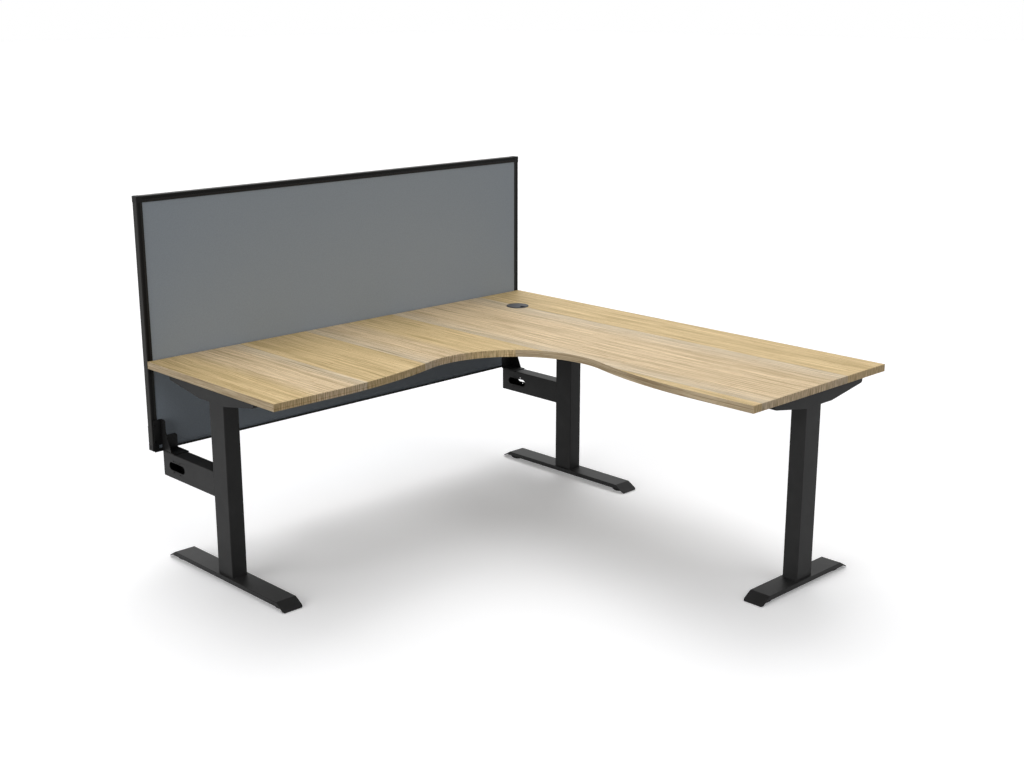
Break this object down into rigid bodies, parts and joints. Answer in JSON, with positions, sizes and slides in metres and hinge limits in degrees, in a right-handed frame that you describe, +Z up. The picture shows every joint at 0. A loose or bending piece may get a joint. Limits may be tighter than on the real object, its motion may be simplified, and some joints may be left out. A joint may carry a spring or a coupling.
{
  "type": "corner workstation desk with screen",
  "caption": "L-shaped corner workstation: scalloped oak-grain top on black T-legs, with cable beams, a grommet and a framed grey fabric privacy screen.",
  "frame": {"origin": "centre of the footprint, on the floor", "axes": "+X along the screen wing towards the outer corner, -Y towards the user, +Z up"},
  "size_m": [1.8, 1.835, 1.297],
  "materials": {
    "oak_laminate": "natural oak woodgrain laminate, satin",
    "oak_edge_band": "oak woodgrain ABS edge band, satin",
    "black_powder_coat": "fine-texture black powder coat on steel",
    "satin_black_coat": "smooth satin black powder coat on steel",
    "zinc_steel": "bright zinc plate",
    "black_zinc": "black zinc plate",
    "black_plastic": "moulded black plastic, fine spark texture",
    "grey_plastic": "moulded dark grey plastic, satin",
    "glide_plastic": "moulded black nylon",
    "black_anodised": "black anodised extruded aluminium, satin",
    "screen_board": "soft pin board, hidden inside the fabric",
    "grey_fabric": "mid-grey woven polyester screen fabric"
  },
  "bodies": {
    "root": {"desk_top": "oak_laminate", "edge_band": "oak_edge_band", "grommet_sleeve": "black_plastic", "left_post": "black_powder_coat", "corner_post": "black_powder_coat", "return_post": "black_powder_coat", "left_foot": "black_powder_coat", "corner_foot": "black_powder_coat", "return_foot": "black_powder_coat", "left_foot_plate": "black_powder_coat", "corner_foot_plate": "black_powder_coat", "return_foot_plate": "black_powder_coat", "left_arm": "black_powder_coat", "corner_arm": "black_powder_coat", "return_arm": "black_powder_coat", "left_head_plate": "black_powder_coat", "corner_head_plate": "black_powder_coat", "return_head_plate": "black_powder_coat", "glide_bushes": "zinc_steel", "rear_rail": "black_powder_coat", "front_rail": "black_powder_coat", "inner_return_rail": "black_powder_coat", "outer_return_rail": "black_powder_coat", "left_beam": "black_powder_coat", "corner_beam": "black_powder_coat", "left_beam_cap": "black_plastic", "corner_beam_cap": "black_plastic", "left_beam_cleat": "black_powder_coat", "corner_beam_cleat": "black_powder_coat", "screen_top_rail": "black_anodised", "screen_bottom_rail": "black_anodised", "screen_left_stile": "black_anodised", "screen_right_stile": "black_anodised", "corner_joiners": "black_plastic", "screen_core": "screen_board", "front_fabric": "grey_fabric", "back_fabric": "grey_fabric", "left_screen_bracket": "satin_black_coat", "corner_screen_bracket": "satin_black_coat", "left_rear_plate": "satin_black_coat", "corner_rear_plate": "satin_black_coat", "post_bolts": "zinc_steel", "frame_bolts": "zinc_steel", "bracket_screws": "black_zinc", "desk_screws": "zinc_steel"},
    "grommet_cap": {"grommet_cap": "grey_plastic"},
    "glide_pad_1": {"glide_pad_1": "glide_plastic"},
    "glide_stem_1": {"glide_stem_1": "zinc_steel"},
    "glide_pad_2": {"glide_pad_2": "glide_plastic"},
    "glide_stem_2": {"glide_stem_2": "zinc_steel"},
    "glide_pad_3": {"glide_pad_3": "glide_plastic"},
    "glide_stem_3": {"glide_stem_3": "zinc_steel"},
    "glide_pad_4": {"glide_pad_4": "glide_plastic"},
    "glide_stem_4": {"glide_stem_4": "zinc_steel"},
    "glide_pad_5": {"glide_pad_5": "glide_plastic"},
    "glide_stem_5": {"glide_stem_5": "zinc_steel"},
    "glide_pad_6": {"glide_pad_6": "glide_plastic"},
    "glide_stem_6": {"glide_stem_6": "zinc_steel"}
  },
  "joints": [
    {"name": "grommet_cap_turn", "type": "hinge", "parent": "root", "child": "grommet_cap", "pos_m": [0.665, 0.6475, 0.725], "axis": [0, 0, 1], "continuous": true},
    {"name": "glide_1_travel", "type": "slide", "parent": "root", "child": "glide_pad_1", "axis": [0, 0, -1], "range_m": [0, 0.008]},
    {"name": "glide_1_turn", "type": "hinge", "parent": "glide_pad_1", "child": "glide_stem_1", "pos_m": [-0.834, 0.2215, 0], "axis": [0, 0, -1], "range_deg": [0, 2304.01]},
    {"name": "glide_2_travel", "type": "slide", "parent": "root", "child": "glide_pad_2", "axis": [0, 0, -1], "range_m": [0, 0.008]},
    {"name": "glide_2_turn", "type": "hinge", "parent": "glide_pad_2", "child": "glide_stem_2", "pos_m": [-0.834, 0.8135, 0], "axis": [0, 0, -1], "range_deg": [0, 2304.01]},
    {"name": "glide_3_travel", "type": "slide", "parent": "root", "child": "glide_pad_3", "axis": [0, 0, -1], "range_m": [0, 0.008]},
    {"name": "glide_3_turn", "type": "hinge", "parent": "glide_pad_3", "child": "glide_stem_3", "pos_m": [0.834, 0.2215, 0], "axis": [0, 0, -1], "range_deg": [0, 2304.01]},
    {"name": "glide_4_travel", "type": "slide", "parent": "root", "child": "glide_pad_4", "axis": [0, 0, -1], "range_m": [0, 0.008]},
    {"name": "glide_4_turn", "type": "hinge", "parent": "glide_pad_4", "child": "glide_stem_4", "pos_m": [0.834, 0.8135, 0], "axis": [0, 0, -1], "range_deg": [0, 2304.01]},
    {"name": "glide_5_travel", "type": "slide", "parent": "root", "child": "glide_pad_5", "axis": [0, 0, -1], "range_m": [0, 0.008]},
    {"name": "glide_5_turn", "type": "hinge", "parent": "glide_pad_5", "child": "glide_stem_5", "pos_m": [0.339, -0.8515, 0], "axis": [0, 0, -1], "range_deg": [0, 2304.01]},
    {"name": "glide_6_travel", "type": "slide", "parent": "root", "child": "glide_pad_6", "axis": [0, 0, -1], "range_m": [0, 0.008]},
    {"name": "glide_6_turn", "type": "hinge", "parent": "glide_pad_6", "child": "glide_stem_6", "pos_m": [0.731, -0.8515, 0], "axis": [0, 0, -1], "range_deg": [0, 2304.01]}
  ],
  "couplings": [
    {"joint": "glide_1_turn", "follows": "glide_1_travel", "rad_per_m": 5026.5},
    {"joint": "glide_2_turn", "follows": "glide_2_travel", "rad_per_m": 5026.5},
    {"joint": "glide_3_turn", "follows": "glide_3_travel", "rad_per_m": 5026.5},
    {"joint": "glide_4_turn", "follows": "glide_4_travel", "rad_per_m": 5026.5},
    {"joint": "glide_5_turn", "follows": "glide_5_travel", "rad_per_m": 5026.5},
    {"joint": "glide_6_turn", "follows": "glide_6_travel", "rad_per_m": 5026.5}
  ]
}
